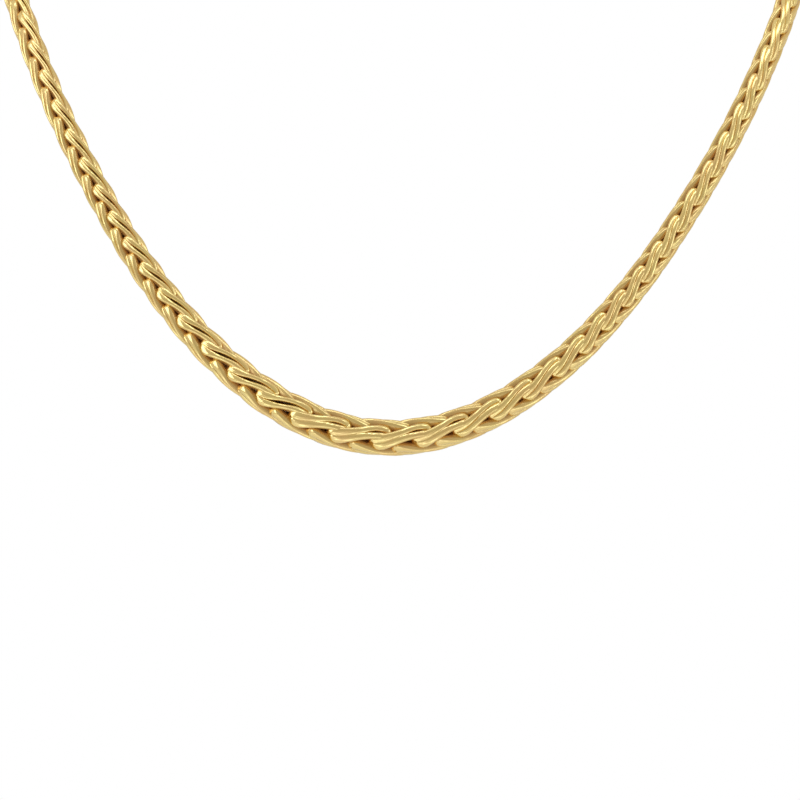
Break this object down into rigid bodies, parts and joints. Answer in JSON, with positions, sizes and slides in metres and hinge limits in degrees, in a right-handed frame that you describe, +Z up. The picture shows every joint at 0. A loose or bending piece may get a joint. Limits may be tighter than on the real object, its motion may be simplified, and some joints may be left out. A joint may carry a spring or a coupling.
{
  "type": "wheat chain necklace",
  "caption": "Graduated wheat chain necklace, widest at the front, held in its worn loop and closed at the nape by a plain barrel clasp.",
  "frame": {"origin": "the spot on the inner side of the clasp, halfway along it, that lies against the nape of the wearer's neck", "axes": "+X to the right of the loop seen from its front, +Y from the front of the loop to its back, +Z up"},
  "size_m": [0.14, 0.0933, 0.1158],
  "materials": {
    "yellow_gold": "bright polished yellow gold, a little darker between the links",
    "clasp_gold": "polished yellow gold with fine handling marks"
  },
  "bodies": {
    "root": {"chain": "yellow_gold", "clasp": "clasp_gold"}
  },
  "joints": []
}
